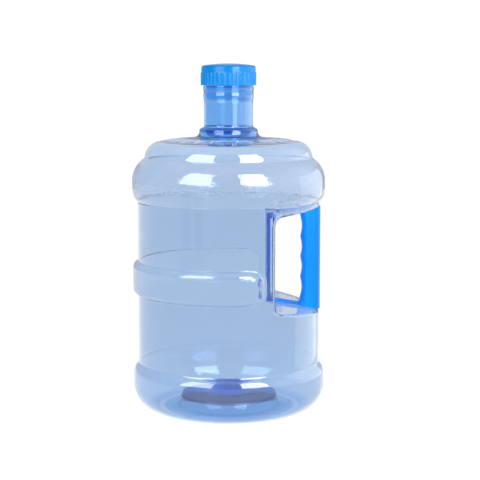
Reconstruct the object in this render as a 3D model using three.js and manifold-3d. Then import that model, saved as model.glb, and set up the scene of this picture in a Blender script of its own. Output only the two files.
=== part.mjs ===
// A refillable water jug: a blown clear shell with three proud rings and a long neck, a moulded
// handle insert held in a recess on the +X side, and a screw cap with its sealing liner.
// Millimetres, +Z up. The jug's axis is the Z axis and its base stands on z = 0.

import Module from 'manifold-3d';
import * as THREE from 'three';
import { mergeVertices } from 'three/addons/utils/BufferGeometryUtils.js';

const wasm = await Module();
wasm.setup();

// Body of the shell
const bodyRadius = 103.5; // plain wall between the rings
const ringProud = 6; // how far the rings stand out from it
const bodyHeight = 306; // floor to the edge of the shoulder's top
const wall = 1.6;

// Base
const heelRadius = 29;
const landWidth = 6; // flat ring that the jug stands on
const pushUpRadius = 55; // raised middle of the base
const pushUpHeight = 11.5;
const pushUpWall = 3.5; // the middle of the base is thicker than the sides

// Rings, from the base up
const bottomRingFlat = 12;
const bottomRingRound = 17;
const lowerWallHeight = 79;
const midRingFlat = 21.3;
const midRingRound = 8;
const shoulderRingFlat = 11.5;
const shoulderRingRound = 16; // its underside
const shoulderCrownRadius = 29; // its upper side, down into the groove
const shoulderCrownAngle = 58;

// Shoulder dome above the groove
const domeInset = 8.3; // the groove is this far inside the plain wall
const domeRound = 19.4;
const domeStart = 2; // degrees
const domeEnd = 75;
const shoulderRise = 5; // from the dome's edge to the neck's root

// Neck
const neckRadius = 27.8;
const neckWall = 3.2;
const boreFlare = 10; // rounding of the bore into the shoulder
const neckHeight = 31; // plain tube between the collar and the band
const collarProud = 5.4; // outside the neck
const collarHeight = 12;
const collarFillet = 6.5; // from the shoulder up to the collar
const collarRound = 3;
const bandHeight = 15; // thicker band below the cap
const bandProud = 0.7;
const bandGroove = 0.45;
const finishHeight = 18.8; // threaded top of the neck, inside the cap
const finishStep = 1.3; // how far the finish is set in from the neck

// Screw thread, one start, right-handed
const threadPitch = 6;
const threadTurns = 1.25;
const threadDepth = 1.7;
const threadRoot = 2.6; // width at the root
const threadTip = 1.2; // width at the tip
const threadRunIn = 5.4; // first thread above the bottom of the finish

// Cap
const capWall = 2.6;
const capTop = 1.8; // thickness at the edge of the top
const capCrown = 2; // how much the top is domed
const capRibbedHeight = 14;
const capRibs = 36;
const capRibDepth = 0.7;
const capCorner = 3;
const capThreadClearance = 0.6; // between a thread's tip and the wall it faces
const linerThickness = 1.5;

// Recess for the hand
const recessDepth = 52.5; // from the plain wall to the recess's back
const recessFloor = 10; // below the foot of the middle ring
const recessFloorSlope = 9; // degrees down towards the outside
const recessCeiling = 12; // below the foot of the shoulder ring
const recessCeilingSlope = 7; // degrees up towards the outside
const recessFillet = 6;
const ringEnd = 12; // the middle ring stops this far before the recess

// Handle insert: a closed frame with a thick grip as its outer side
const frameWidth = 14;
const ribInset = 6.6; // channel for the frame's back rib
const ribThickness = 4.3;
const ribFoot = 3; // the channel and the rib reach below the recess's floor
const armThickness = 3;
const bossRadius = 3.8;
const gripWidth = 26;
const gripDepth = 23;
const gripProud = 1.2; // outside the plain wall
const gripRound = 6;
const fingerPitch = 23.4;
const fingerDepth = 1.8;
const gripEnd = 8; // plain stretch beyond the first and last finger

const clearance = 0.3; // between pieces that touch
const segments = 40;

// Levels worked out from the sizes above
const ringRadius = bodyRadius + ringProud;
const ringRun = (round) => Math.sqrt(2 * round * ringProud - ringProud ** 2);
const crownHeight = shoulderCrownRadius * Math.sin(THREE.MathUtils.degToRad(shoulderCrownAngle));
const domeHeight = domeRound * Math.sin(THREE.MathUtils.degToRad(domeEnd));
const bottomRingTop = heelRadius + bottomRingFlat + ringRun(bottomRingRound);
const midRingFoot = bottomRingTop + lowerWallHeight;
const midRingTop = midRingFoot + midRingFlat + 2 * ringRun(midRingRound);
const grooveLevel = bodyHeight - domeHeight;
const shoulderRingLevel = grooveLevel - crownHeight;
const shoulderRingFoot = shoulderRingLevel - shoulderRingFlat - ringRun(shoulderRingRound);
const neckRoot = bodyHeight + shoulderRise;
const domeRadius = bodyRadius - domeInset;
const collarRadius = neckRadius + collarProud;
const neckFoot = neckRoot + collarHeight;
const bandFoot = neckFoot + neckHeight;
const finishFoot = bandFoot + bandHeight;
const rim = finishFoot + finishHeight;
const finishRadius = neckRadius - finishStep;
const boreRadius = neckRadius - neckWall - finishStep;
const capFoot = finishFoot + clearance;
const capCeiling = rim + linerThickness + 2 * clearance;
const capBoreRadius = finishRadius + threadDepth + capThreadClearance;
const capRadius = capBoreRadius + capWall;
const recessBack = bodyRadius - recessDepth;
const recessFloorLevel = midRingFoot - recessFloor;
const recessCeilingLevel = shoulderRingFoot - recessCeiling;

function arc(centreR, centreZ, radius, fromDeg, toDeg, steps) {
  return Array.from({ length: steps + 1 }, (_, i) => {
    const angle = THREE.MathUtils.degToRad(fromDeg + ((toDeg - fromDeg) * i) / steps);
    return new THREE.Vector2(centreR + radius * Math.cos(angle), centreZ + radius * Math.sin(angle));
  });
}

function point(r, z) {
  return new THREE.Vector2(r, z);
}

function solidOf(geometry) {
  const bare = geometry.clone();
  bare.deleteAttribute('normal');
  bare.deleteAttribute('uv');
  const merged = mergeVertices(bare, 1e-4);
  const triangles = [];
  for (let i = 0; i < merged.index.count; i += 3) {
    const [a, b, c] = [0, 1, 2].map((k) => merged.index.getX(i + k));
    if (a !== b && b !== c && c !== a) triangles.push(a, b, c);
  }
  return new wasm.Manifold(new wasm.Mesh({
    numProp: 3,
    vertProperties: new Float32Array(merged.attributes.position.array),
    triVerts: new Uint32Array(triangles),
  }));
}

function geometryOf(solid) {
  const { vertProperties, triVerts } = solid.getMesh();
  const geometry = new THREE.BufferGeometry();
  geometry.setAttribute('position', new THREE.BufferAttribute(vertProperties, 3));
  geometry.setIndex(new THREE.BufferAttribute(triVerts, 1));
  geometry.computeVertexNormals();
  return geometry;
}

// A profile of (radius, height) points, bottom to top, turned round the jug's axis
function turned(profile) {
  return new THREE.LatheGeometry(profile, segments).rotateX(Math.PI / 2);
}

// An outline of (x, z) points, given a width across the jug
function across(shape, width, options = {}) {
  const geometry = new THREE.ExtrudeGeometry(shape, { depth: width, bevelEnabled: false, ...options });
  geometry.rotateX(Math.PI / 2);
  geometry.computeBoundingBox();
  const { min, max } = geometry.boundingBox;
  return geometry.translate(0, -(min.y + max.y) / 2, 0);
}

// How far a ring's rounded edge turns before it meets the plain wall, in degrees
function ringTurn(round) {
  return THREE.MathUtils.radToDeg(Math.asin(ringRun(round) / round));
}

// The side of the body from the floor to the neck's root, set in by a skin (0 for the outside)
function bodySide(skin, steps) {
  const points = [
    ...arc(ringRadius - heelRadius, heelRadius, heelRadius, -90, 0, steps + 2),
    ...ringEdge(heelRadius + bottomRingFlat, bottomRingRound, 0, 1, steps - 1),
    ...ringEdge(midRingFoot + ringRun(midRingRound), midRingRound, -1, 0, steps - 1),
    ...ringEdge(midRingTop - ringRun(midRingRound), midRingRound, 0, 1, steps - 1),
    ...ringEdge(shoulderRingFoot + ringRun(shoulderRingRound), shoulderRingRound, -1, 0, steps - 1),
    ...arc(
      ringRadius - shoulderCrownRadius, shoulderRingLevel,
      shoulderCrownRadius, 0, shoulderCrownAngle, steps,
    ),
    ...arc(domeRadius - domeRound, grooveLevel, domeRound, domeStart, domeEnd, steps),
    point(collarRadius + collarFillet, neckRoot),
  ];
  return points.map((p, i) => {
    const before = points[Math.max(i - 1, 0)];
    const after = points[Math.min(i + 1, points.length - 1)];
    const along = after.clone().sub(before).normalize();
    return point(p.x - along.y * skin, p.y + along.x * skin);
  });
}

// The rounded edge of a ring, between its full radius (0) and the wall below (-1) or above (1)
function ringEdge(level, round, from, to, steps) {
  const turn = ringTurn(round);
  return arc(ringRadius - round, level, round, from * turn, to * turn, steps);
}

function shellOutside() {
  const landOuter = ringRadius - heelRadius;
  return turned([
    point(0, pushUpHeight),
    point(pushUpRadius, pushUpHeight),
    point(landOuter - landWidth, 0),
    ...bodySide(0, 4),
    ...arc(collarRadius + collarFillet, neckRoot + collarFillet, collarFillet, 270, 180, 3),
    ...arc(collarRadius - collarRound, neckFoot - collarFillet, collarRound, 30, 80, 1),
    point(neckRadius, neckFoot),
    point(neckRadius, bandFoot),
    point(neckRadius + bandProud, bandFoot + 0.6),
    point(neckRadius + bandProud, bandFoot + bandHeight / 2 - 1.5),
    point(neckRadius + bandProud - bandGroove, bandFoot + bandHeight / 2),
    point(neckRadius + bandProud, bandFoot + bandHeight / 2 + 1.5),
    point(neckRadius + bandProud, finishFoot - 0.6),
    point(neckRadius + bandProud - 0.6, finishFoot),
    point(finishRadius, finishFoot),
    point(finishRadius, rim - 0.8),
    point(finishRadius - 0.8, rim),
    point(0, rim),
  ]);
}

function shellInside() {
  return turned([
    point(0, pushUpHeight + pushUpWall),
    point(pushUpRadius - wall, pushUpHeight + pushUpWall),
    point(ringRadius - heelRadius - landWidth - wall, wall),
    ...bodySide(wall, 3),
    ...arc(boreRadius + boreFlare, neckRoot + boreFlare - wall, boreFlare, 270, 180, 3),
    point(boreRadius, rim + 1),
    point(0, rim + 1),
  ]);
}

function floorAt(x, lift) {
  return recessFloorLevel + lift - (x - recessBack) * Math.tan(THREE.MathUtils.degToRad(recessFloorSlope));
}

function ceilingAt(x, drop) {
  const slope = THREE.MathUtils.degToRad(recessCeilingSlope);
  return recessCeilingLevel - drop + (x - recessBack) * Math.tan(slope);
}

// The recess seen from the front. The margin grows it into the shell, or shrinks it if negative.
function recessShape(margin) {
  const reach = 2 * ringRadius;
  const left = recessBack - margin;
  const shape = new THREE.Shape();
  shape.moveTo(reach, floorAt(reach, -margin));
  shape.lineTo(reach, ceilingAt(reach, -margin));
  shape.lineTo(left + recessFillet, ceilingAt(left + recessFillet, -margin));
  shape.quadraticCurveTo(left, ceilingAt(left, -margin), left, ceilingAt(left, -margin) - recessFillet);
  shape.lineTo(left, floorAt(left, -margin) + recessFillet);
  shape.quadraticCurveTo(
    left, floorAt(left, -margin),
    left + recessFillet, floorAt(left + recessFillet, -margin),
  );
  shape.closePath();
  return shape;
}

function box(low, high) {
  const size = high.clone().sub(low);
  const middle = high.clone().add(low).multiplyScalar(0.5);
  return new THREE.BoxGeometry(size.x, size.y, size.z).translate(middle.x, middle.y, middle.z);
}

// The upright channel in the recess's back that holds the handle's rib
function ribChannel(margin) {
  const half = frameWidth / 2 + clearance + margin;
  const front = recessBack + recessFillet;
  return box(
    new THREE.Vector3(recessBack - ribInset - margin, -half, recessFloorLevel - ribFoot - margin),
    new THREE.Vector3(front, half, ceilingAt(front, -margin)),
  );
}

// One turn-and-a-bit of thread. side = 1 stands out from a neck, side = -1 stands in from a cap.
function threadRidge(rootRadius, side, startLevel) {
  const buried = 0.6;
  const section = new THREE.Shape([
    point(rootRadius - side * buried, -threadRoot / 2),
    point(rootRadius + side * threadDepth, -threadTip / 2),
    point(rootRadius + side * threadDepth, threadTip / 2),
    point(rootRadius - side * buried, threadRoot / 2),
  ]);
  const steps = Math.round(threadTurns * segments);
  const fade = 3 / steps;
  const ridge = new THREE.ExtrudeGeometry(section, { depth: 1, steps, bevelEnabled: false });
  const position = ridge.attributes.position;
  for (let i = 0; i < position.count; i += 1) {
    const along = position.getZ(i);
    const full = Math.min(1, along / fade, (1 - along) / fade);
    const beyond = (position.getX(i) - rootRadius) * side;
    const radius = beyond > 0 ? rootRadius + side * beyond * full : position.getX(i);
    const angle = along * threadTurns * 2 * Math.PI;
    const level = startLevel + (angle * threadPitch) / (2 * Math.PI) - position.getY(i);
    position.setXYZ(i, radius * Math.cos(angle), radius * Math.sin(angle), level);
  }
  return ridge;
}

// What is taken off the middle ring beside the recess, grown into the shell by a margin
function ringGap(margin) {
  const block = box(
    new THREE.Vector3(recessBack - ringEnd - margin, -2 * ringRadius, midRingFoot - 1),
    new THREE.Vector3(2 * ringRadius, 2 * ringRadius, midRingTop + 1),
  );
  const core = turned([
    point(0, midRingFoot - 2),
    point(bodyRadius - margin, midRingFoot - 2),
    point(bodyRadius - margin, midRingTop + 2),
    point(0, midRingTop + 2),
  ]);
  return solidOf(block).subtract(solidOf(core));
}

function bottleShell() {
  const recess = across(recessShape(0), 3 * ringRadius);
  const recessWithSkin = across(recessShape(wall), 3 * ringRadius);
  const cavity = solidOf(shellInside())
    .subtract(solidOf(recessWithSkin))
    .subtract(solidOf(ribChannel(wall)))
    .subtract(ringGap(wall));
  return solidOf(shellOutside())
    .subtract(ringGap(0))
    .add(solidOf(threadRidge(finishRadius, 1, finishFoot + threadRunIn)))
    .subtract(solidOf(recess))
    .subtract(solidOf(ribChannel(0)))
    .subtract(cavity);
}

// The grip seen from the front: a straight outer side and a row of finger hollows inside
function gripShape() {
  const outer = bodyRadius + gripProud;
  const inner = outer - gripDepth;
  const middle = (recessFloorLevel + recessCeilingLevel) / 2;
  const length = recessCeilingLevel - recessFloorLevel;
  const fingers = Math.max(1, Math.floor((length - 2 * gripEnd + fingerDepth) / fingerPitch));
  const low = middle - (fingers * fingerPitch) / 2;
  const overrun = length;
  const hollowSteps = 6;
  const outline = [point(outer, low - overrun), point(outer, low + fingers * fingerPitch + overrun)];
  outline.push(point(inner, low + fingers * fingerPitch + overrun));
  for (let i = fingers * hollowSteps; i >= 0; i -= 1) {
    const phase = i / hollowSteps;
    const depth = fingerDepth * Math.abs(Math.sin(Math.PI * phase));
    outline.push(point(inner + depth, low + phase * fingerPitch));
  }
  outline.push(point(inner, low - overrun));
  return new THREE.Shape(outline.reverse());
}

function handleInsert() {
  const ribBack = recessBack - ribInset + clearance;
  const ribFront = ribBack + ribThickness;
  const gripInner = bodyRadius + gripProud - gripDepth;
  const armEnd = gripInner + gripDepth / 2;
  const frame = new THREE.Shape([
    point(ribBack, recessFloorLevel - ribFoot + clearance),
    point(ribFront, recessFloorLevel - ribFoot + clearance),
    point(ribFront, floorAt(ribFront, clearance)),
    point(armEnd, floorAt(armEnd, clearance)),
    point(armEnd, ceilingAt(armEnd, clearance)),
    point(recessBack, ceilingAt(recessBack, clearance)),
    point(ribBack, recessCeilingLevel - clearance - armThickness),
  ]);
  frame.holes.push(new THREE.Path([
    point(ribFront, floorAt(ribFront, clearance + armThickness)),
    point(ribFront, recessCeilingLevel - clearance - armThickness),
    point(armEnd - 1, ceilingAt(armEnd - 1, clearance + armThickness)),
    point(armEnd - 1, floorAt(armEnd - 1, clearance + armThickness)),
  ]));
  const grip = across(gripShape(), gripWidth - 2 * gripRound, {
    bevelEnabled: true,
    bevelThickness: gripRound,
    bevelSize: gripRound,
    bevelOffset: -gripRound,
    bevelSegments: 3,
  });
  const boss = new THREE.CylinderGeometry(bossRadius, bossRadius, frameWidth, 16)
    .translate(ribFront + clearance, 0, recessCeilingLevel - clearance - bossRadius);
  const room = across(recessShape(-clearance), 2 * frameWidth + gripWidth);
  return solidOf(grip)
    .intersect(solidOf(room))
    .add(solidOf(across(frame, frameWidth)))
    .add(solidOf(boss));
}

function capShell() {
  const foot = capFoot;
  const edge = capCeiling + capTop;
  const smoothRadius = capRadius - capRibDepth;
  const outside = turned([
    point(0, foot),
    point(capRadius - capRibDepth, foot),
    point(smoothRadius, foot + capRibbedHeight),
    ...arc(smoothRadius - capCorner, edge - capCorner, capCorner, 0, 80, 4),
    point(smoothRadius / 2, edge + capCrown * 0.75),
    point(0, edge + capCrown),
  ]);
  const inside = turned([
    point(0, foot - 1),
    point(capBoreRadius, foot - 1),
    point(capBoreRadius, capCeiling),
    point(0, capCeiling),
  ]);
  const ribs = new THREE.Shape(Array.from({ length: 4 * capRibs }, (_, i) => {
    const angle = ((Math.floor(i / 4) + [0, 0.28, 0.5, 0.78][i % 4]) / capRibs) * 2 * Math.PI;
    const radius = i % 4 < 2 ? capRadius : smoothRadius - 0.2;
    return point(radius * Math.cos(angle), radius * Math.sin(angle));
  }));
  const ribbed = new THREE.ExtrudeGeometry(ribs, { depth: capRibbedHeight, bevelEnabled: false })
    .translate(0, 0, foot);
  const thread = threadRidge(capBoreRadius, -1, finishFoot + threadRunIn - threadPitch / 2);
  return solidOf(outside)
    .add(solidOf(ribbed))
    .subtract(solidOf(inside))
    .add(solidOf(thread));
}

function capLiner() {
  const radius = capBoreRadius - 2 * clearance;
  const low = rim + clearance;
  return turned([
    point(0, low),
    point(radius - 0.3, low),
    point(radius, low + 0.3),
    point(radius, low + linerThickness - 0.3),
    point(radius - 0.3, low + linerThickness),
    point(0, low + linerThickness),
  ]);
}

function piece(name, geometry, color, roughness) {
  const material = new THREE.MeshStandardMaterial({ color, roughness, metalness: 0 });
  const mesh = new THREE.Mesh(geometry, material);
  mesh.name = name;
  return mesh;
}

const group = new THREE.Group();
group.add(
  piece('bottle_shell', geometryOf(bottleShell()), 0xa2bcda, 0.08),
  piece('handle_insert', geometryOf(handleInsert()), 0x1e96f6, 0.35),
  piece('cap_shell', geometryOf(capShell()), 0x2298f5, 0.3),
  piece('cap_liner', geometryOf(solidOf(capLiner())), 0xe8eef2, 0.6),
);

export default group;
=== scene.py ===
import math

import bpy
import numpy as np
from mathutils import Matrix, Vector


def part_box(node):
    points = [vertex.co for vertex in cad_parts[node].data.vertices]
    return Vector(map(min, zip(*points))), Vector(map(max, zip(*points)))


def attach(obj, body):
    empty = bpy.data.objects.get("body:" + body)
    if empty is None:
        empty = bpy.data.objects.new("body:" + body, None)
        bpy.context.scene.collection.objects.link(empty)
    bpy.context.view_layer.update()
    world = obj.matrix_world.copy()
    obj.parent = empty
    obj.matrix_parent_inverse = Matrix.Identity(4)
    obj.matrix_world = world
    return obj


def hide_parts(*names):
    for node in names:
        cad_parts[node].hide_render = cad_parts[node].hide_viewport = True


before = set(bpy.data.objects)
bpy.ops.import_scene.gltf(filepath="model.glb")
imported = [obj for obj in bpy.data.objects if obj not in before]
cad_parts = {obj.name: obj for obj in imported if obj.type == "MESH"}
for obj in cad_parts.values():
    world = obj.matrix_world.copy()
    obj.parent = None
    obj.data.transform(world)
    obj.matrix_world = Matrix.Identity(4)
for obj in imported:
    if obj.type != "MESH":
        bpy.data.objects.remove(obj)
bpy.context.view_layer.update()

# ---------------------------------------------------------------- sizes, in metres
shell_low, shell_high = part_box("bottle_shell")
cap_low, cap_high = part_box("cap_shell")
liner_low, liner_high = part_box("cap_liner")
insert_low, insert_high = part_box("handle_insert")

RING_R = shell_high.x
RIM = shell_high.z
RING_PROUD = 0.006
WALL_R = RING_R - RING_PROUD
SKIN = 0.0016

# base
HEEL = 0.029
LAND = 0.006
PUSH_UP_R = 0.055
PUSH_UP = 0.0135
PUSH_UP_SKIN = 0.0035
PUSH_UP_FOOT = 0.0045
BASE_DISC_FROM = 0.0118
BASE_DISC_TO = 0.020

# rings: flat stretch and edge rounding
BOTTOM_RING_FLAT = 0.0132
BOTTOM_RING_ROUND = 0.0145
LOWER_WALL = 0.079
MID_RING_FLAT = 0.0226
MID_RING_ROUND = 0.008
SHOULDER_RING_FLAT = 0.0115
SHOULDER_RING_ROUND = 0.016
CROWN_ROUND = 0.029
CROWN_TURN = 58
DOME_INSET = 0.0083
DOME_ROUND = 0.0194
DOME_TURN = 75
SHOULDER_EDGE = 0.306
SHOULDER_RISE = 0.005
MARKS_FROM = 0.058
MARKS_TO = 0.071
MARK_HEIGHT = 0.0008
FOOT_EASE = 0.0026

# neck
NECK_R = 0.0278
NECK_INSIDE = 0.0259
NECK_FLARE = 0.010
BORE_R = 0.0248
FINISH_R = 0.0265
COLLAR_R = NECK_R + 0.0054
COLLAR_FILLET = 0.0065
NEAR_NECK_R = 0.050
COLLAR_TOP = SHOULDER_EDGE + SHOULDER_RISE + 0.012
BAND_FOOT = COLLAR_TOP + 0.031
BAND_HEIGHT = 0.015
BAND_PROUD = 0.0007
FINISH_FOOT = BAND_FOOT + BAND_HEIGHT

# thread
PITCH = 0.006
THREAD_TURNS = 1.25
THREAD_DEPTH = 0.0017
THREAD_HALF_FOOT = 0.0013
THREAD_FLANK = 0.0007
THREAD_RUN_OUT = 0.35
THREAD_START = FINISH_FOOT + 0.0054

# recess and handle
RECESS_BACK = 0.051
RECESS_FLOOR_SLOPE = math.radians(9)
RECESS_CEILING_SLOPE = math.radians(7)
RECESS_LOW_FILLET = 0.005
RECESS_HIGH_FILLET = 0.0085
RECESS_LIP = 0.003
CHANNEL_BACK = RECESS_BACK - 0.0076
CHANNEL_TURN = math.atan(0.0073 / CHANNEL_BACK)
RING_END_GAP = 0.012
RING_END_CORNER = 0.012
RING_END_STRETCH = 1.8
FRAME_WIDTH = 0.014
FRAME_CORNER = 0.004
FRAME_SOFTNESS = 0.0009
RIB = 0.0043
RIB_SLIM = RIB * 0.62
RIB_SLIM_BELOW = 0.150
RIB_FULL_ABOVE = 0.163
ARM = 0.003
GAP = 0.0003
GRIP_DEPTH = 0.023
FINGER_PITCH = 0.0234
FINGER_DEPTH = 0.0018
FINGER_CREST = 0.006
FINGERS = 4
FINGERS_DROP = 0.0001
GRIP_SQUARENESS = 0.85
GRIP_SIDES = 48
GRIP_LEVELS = 92
GRIP_SOFTNESS = 0.0006
FLARE_LOW = 0.004
FLARE_LOW_REACH = 0.012
FLARE_HIGH = 0.0015
FLARE_HIGH_REACH = 0.009
BOSS_R = 0.0038
BOSS_HOLE_R = 0.0014

COLUMNS = 144
# where columns crowd together: degrees from the handle, spread in degrees, strength
CROWDED = ((10, 3, 4), (62, 9, 3))

# the plain wall's stretches from bottom to top, each with its own spacing of points
FLOOR_STRETCH = (0.1065, 0.1305)
RING_FOOT_STRETCH = (0.131, 0.1445)
RING_FLAT_STRETCH = (0.146, 0.164)
RING_TOP_STRETCH = (0.1645, 0.1775)
GRIP_STRETCH = (0.180, 0.2185)
CEILING_STRETCH = (0.2195, 0.2385)
FINE = 0.00055
RING_STEP = 0.0009
FLAT_STEP = 0.003
COARSE = 0.0045
INSIDE_SPACING = 1.6
PRESSED_FROM = 0.1062
PRESSED_TO = 0.239
HALVINGS = 36


def ring_run(round_r):
    """How far along the axis a ring's rounded edge takes to rise from the wall."""
    return math.sqrt(2 * round_r * RING_PROUD - RING_PROUD**2)


BOTTOM_RING_TOP = HEEL + BOTTOM_RING_FLAT + ring_run(BOTTOM_RING_ROUND)
MID_RING_FOOT = BOTTOM_RING_TOP + LOWER_WALL
MID_RING_TOP = MID_RING_FOOT + MID_RING_FLAT + 2 * ring_run(MID_RING_ROUND)
GROOVE = SHOULDER_EDGE - DOME_ROUND * math.sin(math.radians(DOME_TURN))
CROWN_FOOT = GROOVE - CROWN_ROUND * math.sin(math.radians(CROWN_TURN))
SHOULDER_RING_FOOT = CROWN_FOOT - SHOULDER_RING_FLAT - ring_run(SHOULDER_RING_ROUND)
RECESS_FLOOR = MID_RING_FOOT - 0.010
RECESS_CEILING = SHOULDER_RING_FOOT - 0.012


# ---------------------------------------------------------------- small helpers
def arc(centre_r, centre_z, radius, start, end, steps):
    """Points along an arc, from one angle to another in degrees."""
    angles = np.radians(np.linspace(start, end, steps + 1))
    return [(centre_r + radius * math.cos(a), centre_z + radius * math.sin(a)) for a in angles]


def line(start, end, steps):
    """Evenly spaced points from start to end."""
    start, end = np.array(start), np.array(end)
    return [tuple(start + (end - start) * i / steps) for i in range(steps + 1)]


def inset(profile, skin):
    """The profile moved inwards, square to itself, by a skin thickness."""
    points = np.array(profile)
    along = np.empty_like(points)
    along[1:-1] = points[2:] - points[:-2]
    along[0] = points[1] - points[0]
    along[-1] = points[-1] - points[-2]
    along /= np.linalg.norm(along, axis=1)[:, None]
    return [tuple(p) for p in points + np.stack([-along[:, 1], along[:, 0]], 1) * skin]


def tidy(profile):
    """The profile without points that repeat the one before."""
    kept = [profile[0]]
    for point in profile[1:]:
        if math.dist(point, kept[-1]) > 2e-5:
            kept.append(point)
    return kept


def deselect():
    if bpy.context.mode != "OBJECT":
        bpy.ops.object.mode_set(mode="OBJECT")
    bpy.ops.object.select_all(action="DESELECT")


def activate(obj):
    deselect()
    obj.select_set(True)
    bpy.context.view_layer.objects.active = obj


def edit(obj, *steps):
    """Runs edit-mode steps on everything in obj."""
    activate(obj)
    bpy.ops.object.mode_set(mode="EDIT")
    bpy.ops.mesh.select_mode(type="VERT")
    bpy.ops.mesh.select_all(action="SELECT")
    for step in steps:
        step()
    bpy.ops.object.mode_set(mode="OBJECT")


def wire(name, profile):
    """A profile as bare edges in the plane that the spin starts from."""
    mesh = bpy.data.meshes.new(name)
    points = [(r, 0.0, z) for r, z in profile]
    mesh.from_pydata(points, [(i, i + 1) for i in range(len(points) - 1)], [])
    obj = bpy.data.objects.new(name, mesh)
    bpy.context.scene.collection.objects.link(obj)
    return obj


def turned(name, profile, columns):
    """A profile of (radius, height) points spun round the jug's axis into one skin."""
    obj = wire(name, tidy(profile))
    edit(
        obj,
        lambda: bpy.ops.mesh.spin(steps=columns, angle=2 * math.pi, center=(0, 0, 0), axis=(0, 0, 1)),
        lambda: bpy.ops.mesh.select_all(action="SELECT"),
        lambda: bpy.ops.mesh.remove_doubles(threshold=2e-6),
        lambda: bpy.ops.mesh.normals_make_consistent(inside=False),
    )
    return obj


def points_of(obj):
    co = np.empty(len(obj.data.vertices) * 3)
    obj.data.vertices.foreach_get("co", co)
    return co.reshape(-1, 3)


def set_points(obj, co):
    obj.data.vertices.foreach_set("co", co.ravel())
    obj.data.update()


def join(first, *others):
    """Makes the others part of the first object."""
    activate(first)
    for other in others:
        other.select_set(True)
    bpy.ops.object.join()
    return first


def apply(obj, kind, **values):
    """Adds a modifier with these values and applies it."""
    modifier = obj.modifiers.new(kind.title(), kind)
    for key, value in values.items():
        setattr(modifier, key, value)
    activate(obj)
    bpy.ops.object.modifier_apply(modifier=modifier.name)


def smooth(obj, degrees=40):
    activate(obj)
    bpy.ops.object.shade_smooth_by_angle(angle=math.radians(degrees))


def round_both(a, b, radius):
    """Where both distances are inside, with the corner between them rounded."""
    rounded = np.hypot(np.maximum(a + radius, 0), np.maximum(b + radius, 0))
    return np.minimum(np.maximum(a, b), -radius) + rounded


def blend_least(a, b, width):
    """The lesser of two values, with the change from one to the other eased over a width."""
    h = np.clip(0.5 + 0.5 * (b - a) / width, 0, 1)
    return b * (1 - h) + a * h - width * h * (1 - h)


# ---------------------------------------------------------------- the shell
def edge_rise(beyond, round_r):
    """How far a ring stands out at a distance beyond its flat, with its foot eased into the wall."""
    run = ring_run(round_r)
    inside = np.clip(beyond, 0, run)
    slope = run / math.sqrt(round_r**2 - run**2)
    rise = RING_PROUD - round_r + np.sqrt(round_r**2 - inside**2) - np.maximum(beyond - run, 0) * slope
    return -blend_least(-rise, np.zeros_like(rise), FOOT_EASE)


def edge_under_skin(beyond, round_r, skin):
    """The same edge for the surface that lies a skin further in, square to the first one."""
    along = np.linspace(-0.01, ring_run(round_r) + 0.02, 400)
    moved = np.array(inset(list(zip(edge_rise(along, round_r), along)), skin))
    return np.interp(beyond, moved[:, 1], moved[:, 0])


def ring_edge(level, round_r, way, reach=0.005, steps=24):
    """A ring's edge from its flat up (way 1) or down (way -1) to the plain wall."""
    beyond = np.linspace(0, ring_run(round_r) + reach, steps + 1)
    return [(WALL_R + float(r), level + way * float(d)) for d, r in zip(beyond, edge_rise(beyond, round_r))]


def low_side():
    """From the land under the base up to the plain wall above the bottom ring."""
    return [
        *arc(RING_R - HEEL, HEEL, HEEL, -90, 0, 22),
        *line((RING_R, HEEL), (RING_R, HEEL + BOTTOM_RING_FLAT), 4),
        *ring_edge(HEEL + BOTTOM_RING_FLAT, BOTTOM_RING_ROUND, 1),
        *line((WALL_R, BOTTOM_RING_TOP + 0.007), (WALL_R, 0.106), 8),
    ]


def recess_side(spacing):
    """The plain wall's levels past the recess, closest together where its floor and ceiling are."""
    stretches = [
        (FLOOR_STRETCH, FINE * spacing),
        (RING_FOOT_STRETCH, RING_STEP),
        (RING_FLAT_STRETCH, FLAT_STEP * spacing),
        (RING_TOP_STRETCH, RING_STEP),
        (GRIP_STRETCH, COARSE * spacing),
        (CEILING_STRETCH, FINE * spacing),
    ]
    return [(WALL_R, float(z)) for (low, high), step in stretches for z in np.arange(low, high, step)]


def high_side():
    """From the shoulder ring's foot to the foot of the collar."""
    dome_top_r = WALL_R - DOME_INSET - DOME_ROUND * (1 - math.cos(math.radians(DOME_TURN)))
    return [
        *ring_edge(CROWN_FOOT - SHOULDER_RING_FLAT, SHOULDER_RING_ROUND, -1, 0.0, 18)[::-1],
        *line((RING_R, CROWN_FOOT - SHOULDER_RING_FLAT), (RING_R, CROWN_FOOT), 4),
        *arc(RING_R - CROWN_ROUND, CROWN_FOOT, CROWN_ROUND, 0, CROWN_TURN, 16),
        *arc(WALL_R - DOME_INSET - DOME_ROUND, GROOVE, DOME_ROUND, 2, DOME_TURN, 18),
        *line(
            (dome_top_r - 0.001, SHOULDER_EDGE + 0.0002),
            (COLLAR_R + COLLAR_FILLET + 0.0006, SHOULDER_EDGE + SHOULDER_RISE - 0.0001),
            26,
        ),
    ]


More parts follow.
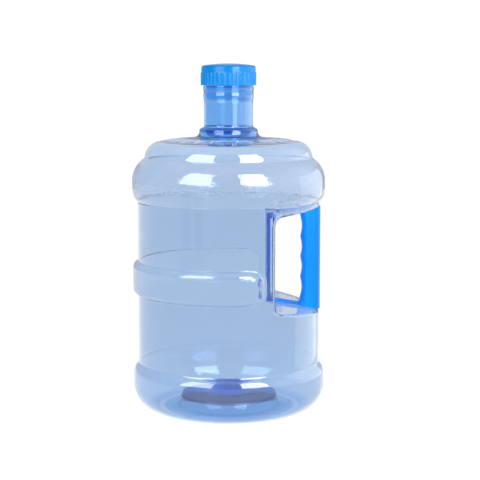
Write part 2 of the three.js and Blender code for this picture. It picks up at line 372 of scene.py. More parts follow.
def neck_side():
    """From the foot of the collar up to the rim, with the band and its shallow groove."""
    foot = SHOULDER_EDGE + SHOULDER_RISE
    step = 0.0006
    groove = BAND_FOOT + BAND_HEIGHT / 2
    return [
        *arc(COLLAR_R + COLLAR_FILLET, foot + COLLAR_FILLET, COLLAR_FILLET, 270, 180, 8),
        *arc(COLLAR_R - 0.003, COLLAR_TOP - 0.0048, 0.003, 0, 70, 6),
        *arc(NECK_R + 0.0022, COLLAR_TOP + 0.001, 0.0022, 240, 180, 5),
        *line((NECK_R, COLLAR_TOP + 0.003), (NECK_R, BAND_FOOT - 0.0004), 6),
        *arc(NECK_R + BAND_PROUD - step, BAND_FOOT + step, step, -80, 0, 4),
        *[
            (NECK_R + BAND_PROUD - 0.00045 * math.exp(-(((z - groove) / 0.0016) ** 2)), z)
            for z in np.linspace(BAND_FOOT + 0.0012, FINISH_FOOT - 0.0012, 22)
        ],
        *arc(NECK_R + BAND_PROUD - step, FINISH_FOOT - step, step, 0, 80, 4),
        *arc(FINISH_R + 0.0004, FINISH_FOOT + 0.0004, 0.0004, 270, 180, 3),
        *line((FINISH_R, FINISH_FOOT + 0.0008), (FINISH_R, RIM - 0.001), 48),
        *arc(FINISH_R - 0.0008, RIM - 0.0008, 0.0008, 0, 90, 4),
        (FINISH_R - 0.0016, RIM),
    ]


def base_underside():
    """From the middle of the base's underside out to the land."""
    inner = RING_R - HEEL - LAND
    return [
        *line((0.0, PUSH_UP), (PUSH_UP_R - 0.006, PUSH_UP), 6),
        *arc(PUSH_UP_R - 0.006, PUSH_UP - 0.003, 0.003, 88, 30, 5),
        *line((PUSH_UP_R, PUSH_UP_FOOT), (PUSH_UP_R + 0.002, PUSH_UP_FOOT - SKIN), 3),
        *line((PUSH_UP_R + 0.006, PUSH_UP_FOOT - SKIN - 0.0003), (inner - 0.006, 0.0014), 5),
        *arc(inner, 0.012, 0.012, 245, 270, 5),
        *line((inner, 0.0), (RING_R - HEEL, 0.0), 2),
    ]


def column_angles(count):
    """Angles round the axis, closer together at the channel and at the recess's upright edges."""
    spread = np.linspace(0, math.pi, 2000)
    degrees = np.degrees(spread)
    density = np.ones_like(degrees)
    for place, width, strength in CROWDED:
        density += strength * np.exp(-(((degrees - place) / width) ** 2))
    total = np.concatenate([[0], np.cumsum((density[1:] + density[:-1]) / 2)])
    total *= math.pi / total[-1]
    even = np.linspace(0, math.pi, count // 2 + 1)
    return even, np.interp(even, total, spread)


def crowd_columns(obj, count):
    """Moves evenly spun columns to the angles that column_angles gives."""
    co = points_of(obj)
    radius = np.hypot(co[:, 0], co[:, 1])
    angle = np.arctan2(co[:, 1], co[:, 0])
    even, crowded = column_angles(count)
    moved = np.sign(angle) * np.interp(np.abs(angle), even, crowded)
    co[:, 0] = radius * np.cos(moved)
    co[:, 1] = radius * np.sin(moved)
    set_points(obj, co)


def raise_marks(obj):
    """A ring of short raised marks on the shoulder, on every other pair of the evenly spun columns."""
    co = points_of(obj)
    radius = np.hypot(co[:, 0], co[:, 1])
    column = np.round(np.arctan2(co[:, 1], co[:, 0]) * COLUMNS / (2 * math.pi)).astype(int)
    on_shoulder = (co[:, 2] > SHOULDER_EDGE) & (co[:, 2] < SHOULDER_EDGE + SHOULDER_RISE)
    chosen = (radius > MARKS_FROM) & (radius < MARKS_TO) & on_shoulder & (column % 4 < 2)
    co[chosen, 2] += MARK_HEIGHT
    set_points(obj, co)


def middle_ring(angle, z, skin):
    """How far the middle ring stands out. It ends, rounded, shortly before the recess."""
    end = math.acos((RECESS_BACK - RING_END_GAP) / WALL_R)
    along = WALL_R * (np.abs(angle) - end) / RING_END_STRETCH
    half = (MID_RING_TOP - MID_RING_FOOT) / 2
    across = np.abs(z - (MID_RING_TOP + MID_RING_FOOT) / 2)
    beside, over = RING_END_CORNER - along, across - half + RING_END_CORNER
    outside = np.hypot(np.maximum(beside, 0), np.maximum(over, 0))
    depth = RING_END_CORNER - outside - np.minimum(np.maximum(beside, over), 0)
    return edge_under_skin(ring_run(MID_RING_ROUND) - depth, MID_RING_ROUND, skin)


def recess_gap(x, y, z):
    """Distance to the space of the recess and its channel: negative inside that space."""
    floor = RECESS_FLOOR - (x - RECESS_BACK) * math.tan(RECESS_FLOOR_SLOPE)
    ceiling = RECESS_CEILING + (x - RECESS_BACK) * math.tan(RECESS_CEILING_SLOPE)
    below = (floor - z) * math.cos(RECESS_FLOOR_SLOPE)
    above = (z - ceiling) * math.cos(RECESS_CEILING_SLOPE)
    recess = round_both(round_both(RECESS_BACK - x, below, RECESS_LOW_FILLET), above, RECESS_HIGH_FILLET)
    beside = (np.abs(np.arctan2(y, x)) - CHANNEL_TURN) * np.hypot(x, y)
    channel = np.maximum.reduce([beside, CHANNEL_BACK - x, below, above])
    return blend_least(recess, channel, 0.0012)


def press_recess(obj, skin):
    """Gives the plain wall its middle ring and its recess, for the outside or for the inside of the skin."""
    co = points_of(obj)
    z = co[:, 2]
    on_wall = np.hypot(co[:, 0], co[:, 1]) > WALL_R - 0.005
    chosen = (z > PRESSED_FROM) & (z < PRESSED_TO) & on_wall
    angle = np.arctan2(co[chosen, 1], co[chosen, 0])
    level = z[chosen]
    wall = WALL_R + middle_ring(angle, level, skin)
    lip = max(RECESS_LIP - skin, 0.0015)
    near = np.full_like(wall, 0.03)
    far = wall + 0.002
    for _ in range(HALVINGS):
        middle = (near + far) / 2
        x, y = middle * np.cos(angle), middle * np.sin(angle)
        solid = round_both(middle - wall, skin - recess_gap(x, y, level), lip)
        near = np.where(solid < 0, middle, near)
        far = np.where(solid < 0, far, middle)
    co[chosen, 0] = near * np.cos(angle)
    co[chosen, 1] = near * np.sin(angle)
    set_points(obj, co)


def cut_thread(obj, wall_radius, side, start, low, high):
    """Raises one helical ridge from a turned wall. side is 1 on a neck and -1 inside a cap."""
    co = points_of(obj)
    radius = np.hypot(co[:, 0], co[:, 1])
    chosen = (np.abs(radius - wall_radius) < 1e-4) & (co[:, 2] > low) & (co[:, 2] < high)
    angle = np.mod(np.arctan2(co[chosen, 1], co[chosen, 0]), 2 * math.pi)
    rise = np.zeros(chosen.sum())
    for turn in range(2):
        way = angle + 2 * math.pi * turn
        level = start + way * PITCH / (2 * math.pi)
        off = np.abs(co[chosen, 2] - level)
        shape = np.clip((THREAD_HALF_FOOT - off) / THREAD_FLANK, 0, 1)
        end = 2 * math.pi * THREAD_TURNS
        fade = np.clip(np.minimum(way, end - way) / THREAD_RUN_OUT, 0, 1)
        rise = np.maximum(rise, THREAD_DEPTH * shape * fade)
    co[chosen, :2] *= ((radius[chosen] + side * rise) / radius[chosen])[:, None]
    set_points(obj, co)


def bottle_shell():
    """The blown shell: an outside and an inside skin that meet at the rim."""
    profile = [*base_underside(), *low_side(), *recess_side(1), *high_side(), *neck_side()]
    outside = turned("bottle", profile, COLUMNS)
    raise_marks(outside)
    crowd_columns(outside, COLUMNS)
    press_recess(outside, 0.0)
    cut_thread(outside, FINISH_R, 1, THREAD_START, FINISH_FOOT + 0.0005, RIM - 0.0005)

    foot = SHOULDER_EDGE + SHOULDER_RISE - SKIN
    side = inset([*low_side(), *recess_side(INSIDE_SPACING), *high_side()], SKIN)
    inner = RING_R - HEEL - LAND - SKIN
    inside_profile = [
        *line((0.0, PUSH_UP + PUSH_UP_SKIN), (PUSH_UP_R - 0.004, PUSH_UP + PUSH_UP_SKIN), 6),
        *arc(PUSH_UP_R - 0.003, PUSH_UP + PUSH_UP_SKIN - 0.003, 0.003, 88, 20, 6),
        *line((PUSH_UP_R + 0.003, PUSH_UP_FOOT + 0.001), (PUSH_UP_R + 0.005, PUSH_UP_FOOT), 3),
        *line((PUSH_UP_R + 0.008, PUSH_UP_FOOT - 0.0003), (inner - 0.002, SKIN + 0.001), 5),
        *line((inner + 0.001, SKIN), (RING_R - HEEL - 0.001, SKIN), 2),
        *side,
        *arc(NECK_INSIDE + NECK_FLARE, foot + NECK_FLARE, NECK_FLARE, 268, 180, 10),
        *line((NECK_INSIDE, foot + NECK_FLARE + 0.003), (NECK_INSIDE, FINISH_FOOT + 0.0002), 6),
        *line((BORE_R, FINISH_FOOT + 0.0042), (BORE_R, RIM - 0.0008), 8),
        *arc(BORE_R + 0.0006, RIM - 0.0006, 0.0006, 180, 90, 4),
        (FINISH_R - 0.0016, RIM),
    ]
    inside = turned("bottle_inside", inside_profile, COLUMNS)
    crowd_columns(inside, COLUMNS)
    press_recess(inside, SKIN)
    join(outside, inside)
    edit(
        outside,
        lambda: bpy.ops.mesh.remove_doubles(threshold=1e-5),
        lambda: bpy.ops.mesh.normals_make_consistent(inside=False),
    )
    smooth(outside, 45)
    return outside


# ---------------------------------------------------------------- the handle insert
def floor_at(x):
    """The level of the recess's floor at a distance from the axis."""
    return RECESS_FLOOR - (x - RECESS_BACK) * math.tan(RECESS_FLOOR_SLOPE)


def ceiling_at(x):
    """The level of the recess's ceiling at a distance from the axis."""
    return RECESS_CEILING + (x - RECESS_BACK) * math.tan(RECESS_CEILING_SLOPE)


def slab(name, outline, width, bevel):
    """An outline of (x, z) points given a width across the jug and soft edges."""
    mesh = bpy.data.meshes.new(name)
    mesh.from_pydata([(x, -width / 2, z) for x, z in outline], [], [list(range(len(outline)))])
    obj = bpy.data.objects.new(name, mesh)
    bpy.context.scene.collection.objects.link(obj)
    edit(
        obj,
        lambda: bpy.ops.mesh.extrude_region_move(TRANSFORM_OT_translate={"value": (0, width, 0)}),
        lambda: bpy.ops.mesh.select_all(action="SELECT"),
        lambda: bpy.ops.mesh.normals_make_consistent(inside=False),
    )
    apply(obj, "BEVEL", width=bevel, segments=3, limit_method="ANGLE", angle_limit=math.radians(40))
    return obj


def handle_frame():
    """Back rib, upper arm and lower arm, as one closed loop that ends inside the grip."""
    back = CHANNEL_BACK + GAP
    front = back + RIB
    slim = back + RIB_SLIM
    end = insert_high.x - GRIP_DEPTH / 2
    low_end, high_end = floor_at(end) + GAP, ceiling_at(end) - GAP
    outline = [
        (back, floor_at(back) + 0.0006),
        (slim, floor_at(slim) + GAP),
        (end, low_end),
        (end, low_end + ARM),
        (slim + FRAME_CORNER, floor_at(slim + FRAME_CORNER) + GAP + ARM),
        (slim, floor_at(slim) + GAP + ARM + FRAME_CORNER),
        (slim, RIB_SLIM_BELOW),
        (front, RIB_FULL_ABOVE),
        (front, RECESS_CEILING - GAP - ARM - FRAME_CORNER),
        (front + FRAME_CORNER, ceiling_at(front + FRAME_CORNER) - GAP - ARM),
        (end, high_end - ARM),
        (end, high_end),
        (front + 0.001, ceiling_at(front + 0.001) - GAP),
        (back, RECESS_CEILING - GAP - ARM),
    ]
    return slab("handle_frame", outline, FRAME_WIDTH, FRAME_SOFTNESS)


def handle_grip():
    """The thick upright grip, hollowed for the fingers on its inner side."""
    outer = insert_high.x
    inner = outer - GRIP_DEPTH
    centre = (outer + inner) / 2
    width = insert_high.y - insert_low.y
    deselect()
    bpy.ops.mesh.primitive_cylinder_add(vertices=GRIP_SIDES, radius=1, depth=1, end_fill_type="NGON")
    grip = bpy.context.object
    grip.name = "handle_grip"

    def slice_levels():
        for i in range(1, GRIP_LEVELS):
            bpy.ops.mesh.select_all(action="SELECT")
            bpy.ops.mesh.bisect(plane_co=(0, 0, i / GRIP_LEVELS - 0.5), plane_no=(0, 0, 1))

    edit(grip, slice_levels)
    co = points_of(grip)
    angle = np.arctan2(co[:, 1], co[:, 0])
    across = np.sign(np.cos(angle)) * np.abs(np.cos(angle)) ** GRIP_SQUARENESS
    over = np.sign(np.sin(angle)) * np.abs(np.sin(angle)) ** GRIP_SQUARENESS
    share = co[:, 2] + 0.5
    x = centre + across * GRIP_DEPTH / 2
    z = floor_at(x) + share * (ceiling_at(x) - floor_at(x))
    foot, top = floor_at(x.min()), ceiling_at(x.min())
    middle = (RECESS_FLOOR + RECESS_CEILING) / 2 - FINGERS_DROP
    phase = (z - middle) / FINGER_PITCH + FINGERS / 2
    within = (phase > 0) & (phase < FINGERS)
    hollow = np.where(within, FINGER_DEPTH * np.sqrt(np.sin(np.pi * phase) ** 2 + FINGER_CREST), 0)
    inner_side = np.clip(-across, 0, 1) ** 1.5
    flare_low = FLARE_LOW * np.clip(1 - (z - foot) / FLARE_LOW_REACH, 0, 1) ** 2
    flare_high = FLARE_HIGH * np.clip(1 - (top - z) / FLARE_HIGH_REACH, 0, 1) ** 2
    x = x + inner_side * (hollow - flare_low - flare_high)
    z = floor_at(x) + GAP + share * (ceiling_at(x) - floor_at(x) - 2 * GAP)
    set_points(grip, np.stack([x, over * width / 2, z], 1))
    apply(grip, "BEVEL", width=GRIP_SOFTNESS, segments=2, limit_method="ANGLE", angle_limit=math.radians(50))
    return grip


def cross_pin(radius, length, place, sides):
    """A cylinder that lies across the jug."""
    deselect()
    bpy.ops.mesh.primitive_cylinder_add(
        vertices=sides, radius=radius, depth=length, location=place, rotation=(math.pi / 2, 0, 0)
    )
    pin = bpy.context.object
    activate(pin)
    bpy.ops.object.transform_apply(location=True, rotation=True, scale=True)
    return pin


def handle_insert():
    """The frame and the grip in one piece, with a drilled boss at the frame's upper corner."""
    grip = handle_grip()
    loop = handle_frame()
    centre = (CHANNEL_BACK + GAP + RIB + GAP, 0, RECESS_CEILING - GAP - BOSS_R)
    boss = cross_pin(BOSS_R, FRAME_WIDTH + 0.0004, centre, 40)
    hole = cross_pin(BOSS_HOLE_R, FRAME_WIDTH * 2, centre, 32)
    apply(loop, "BOOLEAN", operation="UNION", object=boss, solver="EXACT")
    apply(loop, "BOOLEAN", operation="DIFFERENCE", object=hole, solver="EXACT")
    apply(grip, "BOOLEAN", operation="UNION", object=loop, solver="EXACT")
    for used in (loop, boss, hole):
        bpy.data.objects.remove(used)
    grip.name = "grip_and_frame"
    smooth(grip, 35)
    return grip


# ---------------------------------------------------------------- the cap and its liner
CAP_R = cap_high.x
CAP_RIB = 0.0007
CAP_SMOOTH_R = CAP_R - CAP_RIB
CAP_FOOT = cap_low.z
CAP_CROWN = 0.002
CAP_EDGE = cap_high.z - CAP_CROWN
CAP_ROUND = 0.003
CAP_CEILING = liner_high.z + GAP
CAP_BORE = FINISH_R + THREAD_DEPTH + 0.0006
CAP_RIB_TOP = CAP_FOOT + 0.014
CAP_RIBS = 36
CAP_COLUMNS_PER_RIB = 10


def cap_shell():
    """The screw cap: smooth rim, ribbed skirt, slightly crowned top and an inside thread."""
    top = CAP_EDGE - CAP_ROUND
    crown_r = CAP_SMOOTH_R - CAP_ROUND
    outside = [
        (CAP_BORE + 0.0004, CAP_FOOT),
        *arc(CAP_SMOOTH_R - 0.0004, CAP_FOOT + 0.0004, 0.0004, -90, 0, 3),
        *line((CAP_SMOOTH_R, CAP_FOOT + 0.0008), (CAP_SMOOTH_R, CAP_RIB_TOP + 0.0016), 24),
        *line((CAP_SMOOTH_R, CAP_RIB_TOP + 0.003), (CAP_SMOOTH_R, top), 3),
        *arc(crown_r, top, CAP_ROUND, 0, 78, 9),
        *[
            (r, CAP_EDGE + CAP_CROWN * (1 - (r / crown_r) ** 2))
            for r in np.linspace(crown_r - 0.0004, 0, 14)
        ],
    ]
    inside = [
        (0.0, CAP_CEILING),
        (CAP_BORE - 0.001, CAP_CEILING),
        *arc(CAP_BORE - 0.0008, CAP_CEILING - 0.0008, 0.0008, 90, 0, 3),
        *line((CAP_BORE, CAP_CEILING - 0.0012), (CAP_BORE, CAP_FOOT + 0.0006), 54),
        *arc(CAP_BORE + 0.0004, CAP_FOOT + 0.0004, 0.0004, 180, 270, 3),
    ]
    cap = turned("screw_cap", [*inside, *outside], CAP_COLUMNS_PER_RIB * CAP_RIBS)
    co = points_of(cap)
    radius = np.hypot(co[:, 0], co[:, 1])
    angle = np.arctan2(co[:, 1], co[:, 0])
    skirt = (radius > CAP_SMOOTH_R - 0.0003) & (co[:, 2] < CAP_RIB_TOP + 0.002)
    wave = np.clip(0.85 + 1.1 * np.cos(CAP_RIBS * angle), 0, 1)
    fade = np.clip((CAP_RIB_TOP + 0.0008 - co[:, 2]) / 0.0012, 0, 1)
    push = np.where(skirt, CAP_RIB * wave * fade, 0)
    co[:, :2] *= ((radius + push) / np.maximum(radius, 1e-9))[:, None]
    set_points(cap, co)
    cut_thread(cap, CAP_BORE, -1, THREAD_START - PITCH / 2, CAP_FOOT + 0.0007, CAP_CEILING - 0.001)
    smooth(cap, 50)
    return cap


def cap_liner():
    """The soft sealing disc under the cap's ceiling."""
    edge = 0.0004
    low, high, radius = liner_low.z, liner_high.z, liner_high.x
    liner = turned(
        "seal_disc",
        [
            (0.0, low),
            (radius * 0.82, low),
            (radius * 0.84, low + 0.0003),
            (radius * 0.98 - edge, low + 0.0003),
            *arc(radius - edge, low + 0.0003 + edge, edge, -90, 0, 4),
            *arc(radius - edge, high - edge, edge, 0, 90, 4),
            (0.0, high),
        ],
        96,
    )
    smooth(liner, 40)
    return liner


# ---------------------------------------------------------------- materials
BODY_TINT = (0.56, 0.678, 0.827)
SHOULDER_RING_TINT = (0.64, 0.735, 0.865)
MIDDLE_RING_TINT = (0.6, 0.71, 0.86)
DOME_TINT = (0.66, 0.765, 0.9)
RECESS_TINT = (0.8, 0.87, 0.98)
CHANNEL_TINT = (0.4, 0.66, 0.97)
# deep blue round the neck's root: partly the thick wall's own tint, partly a painted reflection of the neck
# in the shoulder
ROOT_TINT_AND_REFLECTION = (0.02, 0.1, 0.6)
COLLAR_TINT = (0.34, 0.72, 1.0)
# navy at the collar's top: partly the plastic's deep tint, partly a painted reflection of dark surroundings
COLLAR_TOP_TINT_AND_DARK_REFLECTION = (0.04, 0.17, 0.55)
NECK_TINT = (0.37, 0.61, 0.89)
BAND_TINT = (0.22, 0.5, 0.85)
HEEL_TINT = (0.38, 0.53, 0.77)
FOOT_TINT = (0.24, 0.46, 0.74)
BASE_DISC_TINT = (0.003, 0.09, 0.64)
# painted shade and grazing reflection: the front half of the base's middle, as seen from the camera side
BASE_FRONT_SHADE_AND_REFLECTION = (0.08, 0.12, 0.28)
GRIP_BLUE = (0.001, 0.27, 0.82)
# painted shade: the grip's inner side and arms, darker where the recess shades them
GRIP_INNER_PAINTED_SHADE_BLUE = (0.001, 0.19, 0.66)
# painted shade: the rib down the channel, much darker where the channel shades it
RIB_PAINTED_SHADE_BLUE = (0.001, 0.07, 0.34)
CAP_BLUE = (0.0, 0.35, 0.98)
LINER_WHITE = (0.8, 0.84, 0.88)
PEBBLE_SCALE = 420
PEBBLE_HEIGHT = 0.0001
CLEAR_ROUGHNESS = 0.02
PEBBLED_ROUGHNESS = 0.4
BELOW_ALL = -1
ABOVE_ALL = 1
MIX_SHARE, MIX_UNDER, MIX_OVER, MIXED = 0, 6, 7, 2


def new_material(name):
    material = bpy.data.materials.new(name)
    material.use_nodes = True
    tree = material.node_tree
    return material, tree, tree.nodes["Principled BSDF"]


def add(tree, kind, **values):
    node = tree.nodes.new(kind)
    for key, value in values.items():
        setattr(node, key, value)
    return node


def ramp(tree, value, start, end, rise=True):
    """0 before start and 1 past end with a soft change between, or the reverse if it doesn't rise."""
    node = add(tree, "ShaderNodeMapRange", interpolation_type="SMOOTHSTEP")
    node.inputs["From Min"].default_value = start
    node.inputs["From Max"].default_value = end
    node.inputs["To Min"].default_value = 0 if rise else 1
    node.inputs["To Max"].default_value = 1 if rise else 0
    tree.links.new(value, node.inputs["Value"])
    return node.outputs["Result"]


def zone(tree, value, low, high, soft):
    """1 where value lies between low and high, with soft ends."""
    up = ramp(tree, value, low - soft, low + soft)
    return both(tree, up, ramp(tree, value, high - soft, high + soft, rise=False))


def both(tree, a, b):
    """The share where two shares overlap."""
    node = add(tree, "ShaderNodeMath", operation="MULTIPLY")
    tree.links.new(a, node.inputs[0])
    tree.links.new(b, node.inputs[1])
    return node.outputs[0]


def tint(tree, under, share, colour):
    """The colour laid over what is under it by the share given."""
    node = add(tree, "ShaderNodeMix", data_type="RGBA")
    node.inputs[MIX_OVER].default_value = (*colour, 1)
    tree.links.new(share, node.inputs[MIX_SHARE])
    if isinstance(under, tuple):
        node.inputs[MIX_UNDER].default_value = (*under, 1)
    else:
        tree.links.new(under, node.inputs[MIX_UNDER])
    return node.outputs[MIXED]


def total(tree, *values):
    """The sum of several shares."""
    result = values[0]
    for value in values[1:]:
        node = add(tree, "ShaderNodeMath", operation="ADD")
        tree.links.new(result, node.inputs[0])
        tree.links.new(value, node.inputs[1])
        result = node.outputs[0]
    return result


def axis_places(tree):
    """Height and distance from the jug's axis."""
    place = add(tree, "ShaderNodeTexCoord")
    split = add(tree, "ShaderNodeSeparateXYZ")
    flat = add(tree, "ShaderNodeVectorMath", operation="MULTIPLY")
    flat.inputs[1].default_value = (1, 1, 0)
    length = add(tree, "ShaderNodeVectorMath", operation="LENGTH")
    tree.links.new(place.outputs["Object"], split.inputs[0])
    tree.links.new(place.outputs["Object"], flat.inputs[0])
    tree.links.new(flat.outputs[0], length.inputs[0])
    return place.outputs["Object"], split, length.outputs["Value"]


def clear_blue_plastic():
    """Clear plastic, tinted by zones, with pebbled patches on the rings and under the base. Some zones carry
    painted light: a dark reflection on the collar's top, a partly painted reflection round the neck's root,
    and painted shade and reflection on the front of the base's middle.
    """
    material, tree, shader = new_material("clear_blue_plastic")
    shader.inputs["Transmission Weight"].default_value = 1.0
    shader.inputs["IOR"].default_value = 1.45
    place, split, radius = axis_places(tree)
    height = split.outputs["Z"]

    middle = both(
        tree,
        zone(tree, height, MID_RING_FOOT, MID_RING_TOP, 0.003),
        zone(tree, radius, WALL_R + 0.001, 0.2, 0.002),
    )
    recess = both(
        tree,
        zone(tree, split.outputs["X"], CHANNEL_BACK + 0.003, ABOVE_ALL, 0.002),
        zone(tree, radius, BELOW_ALL, WALL_R - 0.0026, 0.0006),
    )
    recess = both(tree, recess, zone(tree, height, RECESS_FLOOR - 0.010, RECESS_CEILING + 0.010, 0.003))
    channel = both(
        tree,
        zone(tree, split.outputs["X"], CHANNEL_BACK - 0.004, CHANNEL_BACK + 0.005, 0.0006),
        zone(tree, radius, BELOW_ALL, CHANNEL_BACK + 0.013, 0.001),
    )
    channel = both(tree, channel, zone(tree, height, RECESS_FLOOR - 0.002, RECESS_CEILING - 0.002, 0.002))
    near_neck = zone(tree, radius, BELOW_ALL, NEAR_NECK_R, 0.003)
    root = both(tree, zone(tree, height, SHOULDER_EDGE - 0.002, SHOULDER_EDGE + 0.006, 0.001), near_neck)
    collar = both(tree, zone(tree, height, SHOULDER_EDGE + 0.006, COLLAR_TOP, 0.001), near_neck)
    collar_top = both(tree, zone(tree, height, COLLAR_TOP - 0.006, COLLAR_TOP - 0.001, 0.0008), near_neck)
    foot = both(
        tree,
        zone(tree, height, BELOW_ALL, BASE_DISC_FROM, 0.001),
        zone(tree, radius, BELOW_ALL, RING_R - HEEL - LAND, 0.006),
    )
    base_disc = both(
        tree,
        zone(tree, height, BASE_DISC_FROM, BASE_DISC_TO, 0.0008),
        zone(tree, radius, BELOW_ALL, PUSH_UP_R + 0.0005, 0.0006),
    )
    # the camera side of the base's middle: it takes painted shade and reflection, and also real roughness and
    # pebbles
    front = both(
        tree,
        zone(tree, split.outputs["Y"], BELOW_ALL, -0.006, 0.011),
        zone(tree, radius, 0.020, ABOVE_ALL, 0.006),
    )
    base_front = both(tree, base_disc, front)

    colour = BODY_TINT
    for share, laid in (
        (zone(tree, height, SHOULDER_RING_FOOT, GROOVE, 0.004), SHOULDER_RING_TINT),
        (middle, MIDDLE_RING_TINT),
        (zone(tree, height, GROOVE, SHOULDER_EDGE + SHOULDER_RISE, 0.004), DOME_TINT),
        (recess, RECESS_TINT),
        (channel, CHANNEL_TINT),
        # partly painted reflection: the neck mirrored in the shoulder round its root
        (root, ROOT_TINT_AND_REFLECTION),
        (collar, COLLAR_TINT),
        # partly painted reflection: dark surroundings mirrored in the collar's rounded top
        (collar_top, COLLAR_TOP_TINT_AND_DARK_REFLECTION),
        (zone(tree, height, COLLAR_TOP, ABOVE_ALL, 0.001), NECK_TINT),
        (zone(tree, height, BAND_FOOT, ABOVE_ALL, 0.0006), BAND_TINT),
        (zone(tree, height, BELOW_ALL, 0.003, 0.003), HEEL_TINT),
        (foot, FOOT_TINT),
        (base_disc, BASE_DISC_TINT),
        # painted shade and reflection on the camera side of the base's middle only
        (base_front, BASE_FRONT_SHADE_AND_REFLECTION),
    ):
        colour = tint(tree, colour, share, laid)
    tree.links.new(colour, shader.inputs["Base Color"])

    roughness = add(tree, "ShaderNodeMath", operation="MULTIPLY_ADD")
    roughness.inputs[1].default_value = PEBBLED_ROUGHNESS
    roughness.inputs[2].default_value = CLEAR_ROUGHNESS
    tree.links.new(base_front, roughness.inputs[0])
    tree.links.new(roughness.outputs[0], shader.inputs["Roughness"])

    pebbles = add(tree, "ShaderNodeTexNoise")
    pebbles.inputs["Scale"].default_value = PEBBLE_SCALE
    pebbles.inputs["Detail"].default_value = 0
    tree.links.new(place, pebbles.inputs["Vector"])
    patch = total(
        tree,
        zone(tree, height, SHOULDER_RING_FOOT + 0.006, CROWN_FOOT + 0.017, 0.004),
        middle,
        base_front,
        both(
            tree,
            zone(tree, height, HEEL + 0.006, BOTTOM_RING_TOP - 0.004, 0.004),
            zone(tree, split.outputs["Y"], 0, ABOVE_ALL, 0.03),
        ),
    )
    bump = add(tree, "ShaderNodeBump")
    bump.inputs["Strength"].default_value = 1
    bump.inputs["Distance"].default_value = PEBBLE_HEIGHT
    tree.links.new(both(tree, pebbles.outputs[0], patch), bump.inputs["Height"])
    tree.links.new(bump.outputs[0], shader.inputs["Normal"])
    return material


def plain_plastic(name, colour, roughness, mirroring=0.2):
    """Opaque plastic of one colour, and its node tree."""
    material, tree, shader = new_material(name)
    shader.inputs["Base Color"].default_value = (*colour, 1)
    shader.inputs["Roughness"].default_value = roughness
    shader.inputs["Specular IOR Level"].default_value = mirroring
    return material, tree, shader


def handle_plastic():
    """The grip's blue, with painted shade: a darker blue on its inner side and arms, and darker still on the
    rib that lies in the shaded channel.
    """
    material, tree, shader = plain_plastic("handle_plastic", GRIP_BLUE, 0.3, 0.1)
    along = axis_places(tree)[1].outputs["X"]
    grip_from = insert_high.x - GRIP_DEPTH + 0.006
    # painted shade: darkest on the rib, darker on the arms and the grip's inner side, plain blue on the outer
    # grip
    colour = tint(tree, RIB_PAINTED_SHADE_BLUE, zone(tree, along, CHANNEL_BACK + 0.0075, ABOVE_ALL, 0.001), GRIP_INNER_PAINTED_SHADE_BLUE)
    colour = tint(tree, colour, zone(tree, along, grip_from, ABOVE_ALL, 0.002), GRIP_BLUE)
    tree.links.new(colour, shader.inputs["Base Color"])
    return material


def dress(piece, material, body, node):
    """Gives a finished piece its material and its body, and hides the CAD node that it stands for."""
    piece.data.materials.clear()
    piece.data.materials.append(material)
    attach(piece, body)
    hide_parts(node)


# ---------------------------------------------------------------- camera, lights, floor
SEEN_WHITE = (1.04, 1.04, 1.04)
SOFT_LIGHT = (0.5, 0.51, 0.53)
FRONT_DIM = (0.2, 0.22, 0.32)
SIDE_LIGHT = (2.2, 2.2, 2.3)
BEHIND_DIM = (0.5, 0.53, 0.66)
ABOVE_LIGHT = (0.9, 0.9, 0.95)
CAMERA_PLACE = (0.01295, -1.5236, 0.3799)
CAMERA_TILT = 6.98
CAMERA_LENS = 100.6
FLOOR_R = 3
FLOOR_GLOW = 0.86


def camera():
    data = bpy.data.cameras.new("camera")
    data.lens = CAMERA_LENS
    data.sensor_width = 36
    obj = bpy.data.objects.new("camera", data)
    obj.location = CAMERA_PLACE
    obj.rotation_euler = (math.radians(90 - CAMERA_TILT), 0, 0)
    bpy.context.scene.collection.objects.link(obj)
    bpy.context.scene.camera = obj


def softbox(name, azimuth, distance, width, low, high, strength, colour=(1, 1, 1)):
    """An upright rectangular light that faces the jug, from one level to another."""
    data = bpy.data.lights.new(name, "AREA")
    data.shape = "RECTANGLE"
    data.size = width
    data.size_y = high - low
    data.color = colour
    data.energy = strength * width * (high - low) * math.pi
    obj = bpy.data.objects.new(name, data)
    angle = math.radians(azimuth)
    obj.location = (distance * math.sin(angle), -distance * math.cos(angle), (low + high) / 2)
    aim = Vector((0, 0, (low + high) / 2)) - obj.location
    obj.rotation_euler = aim.to_track_quat("-Z", "Y").to_euler()
    bpy.context.scene.collection.objects.link(obj)
    return obj


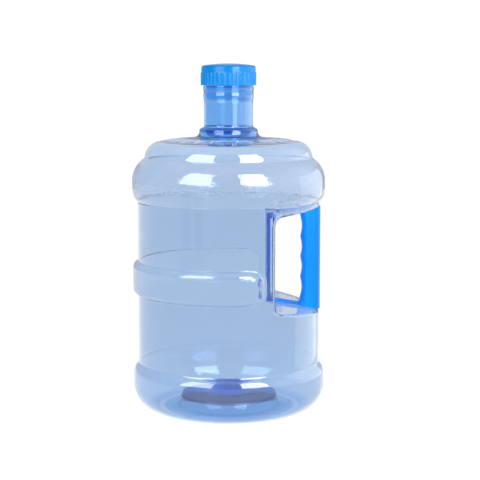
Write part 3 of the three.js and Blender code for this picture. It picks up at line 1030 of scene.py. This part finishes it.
def surroundings():
    """White all round, but dimmer and lilac, lighter to the right, where it is mirrored."""
    world = bpy.data.worlds.new("studio")
    bpy.context.scene.world = world
    world.use_nodes = True
    tree = world.node_tree
    back = tree.nodes["Background"]
    place = add(tree, "ShaderNodeTexCoord")
    split = add(tree, "ShaderNodeSeparateXYZ")
    tree.links.new(place.outputs["Generated"], split.inputs[0])
    mirrored = FRONT_DIM
    for axis, start, end, light in (
        ("X", 0.15, 0.95, SIDE_LIGHT),
        ("Y", 0.3, 1.0, BEHIND_DIM),
        ("Z", 0.5, 0.95, ABOVE_LIGHT),
    ):
        mirrored = tint(tree, mirrored, ramp(tree, split.outputs[axis], start, end), light)
    path = add(tree, "ShaderNodeLightPath")
    through = add(tree, "ShaderNodeMath", operation="SUBTRACT", use_clamp=True)
    tree.links.new(path.outputs["Is Glossy Ray"], through.inputs[0])
    tree.links.new(path.outputs["Is Transmission Ray"], through.inputs[1])
    dimmed = add(tree, "ShaderNodeMix", data_type="RGBA")
    dimmed.inputs[MIX_UNDER].default_value = (*SEEN_WHITE, 1)
    tree.links.new(through.outputs[0], dimmed.inputs[MIX_SHARE])
    tree.links.new(mirrored, dimmed.inputs[MIX_OVER])
    soft = tint(tree, dimmed.outputs[MIXED], path.outputs["Is Diffuse Ray"], SOFT_LIGHT)
    tree.links.new(soft, back.inputs[0])


def studio():
    """The floor, the surroundings and the lights."""
    deselect()
    bpy.ops.mesh.primitive_circle_add(vertices=96, radius=FLOOR_R, fill_type="NGON")
    floor = bpy.context.object
    floor.name = "floor"
    material, _, shader = plain_plastic("floor_white", (0.25, 0.25, 0.25), 0.9, 0.1)
    shader.inputs["Emission Color"].default_value = (1, 1, 1, 1)
    shader.inputs["Emission Strength"].default_value = FLOOR_GLOW
    floor.data.materials.append(material)
    surroundings()
    key = softbox("key_softbox", 32, 1.7, 0.97, 0.36, 2.2, 13)
    spill = softbox("key_spill", 30, 1.7, 0.6, 0.2, 0.33, 3.5)
    fill = softbox("fill_softbox", -39, 1.7, 1.2, 0.37, 2.2, 8, (0.93, 0.94, 1))
    for light in (key, spill, fill):
        light.visible_diffuse = False
    bounce = softbox("soft_bounce", 35, 2.4, 1.6, 0.3, 2.4, 1.75)
    bounce.visible_glossy = False
    bounce.visible_transmission = False
    panel = softbox("side_panel", 106, 0.32, 0.3, 0.0, 0.36, 1.2)
    panel.visible_camera = False
    panel.visible_diffuse = False
    panel.visible_transmission = False
    scene = bpy.context.scene
    scene.view_settings.view_transform = "Standard"
    scene.cycles.max_bounces = 24
    scene.cycles.transmission_bounces = 24
    scene.cycles.glossy_bounces = 8


camera()
studio()

bottle = bottle_shell()
insert = handle_insert()
cap = cap_shell()
liner = cap_liner()

dress(bottle, clear_blue_plastic(), "jug", "bottle_shell")
dress(insert, handle_plastic(), "jug", "handle_insert")
dress(cap, plain_plastic("cap_plastic", CAP_BLUE, 0.18)[0], "cap", "cap_shell")
dress(liner, plain_plastic("liner_rubber", LINER_WHITE, 0.6)[0], "liner", "cap_liner")
bottle.visible_shadow = False
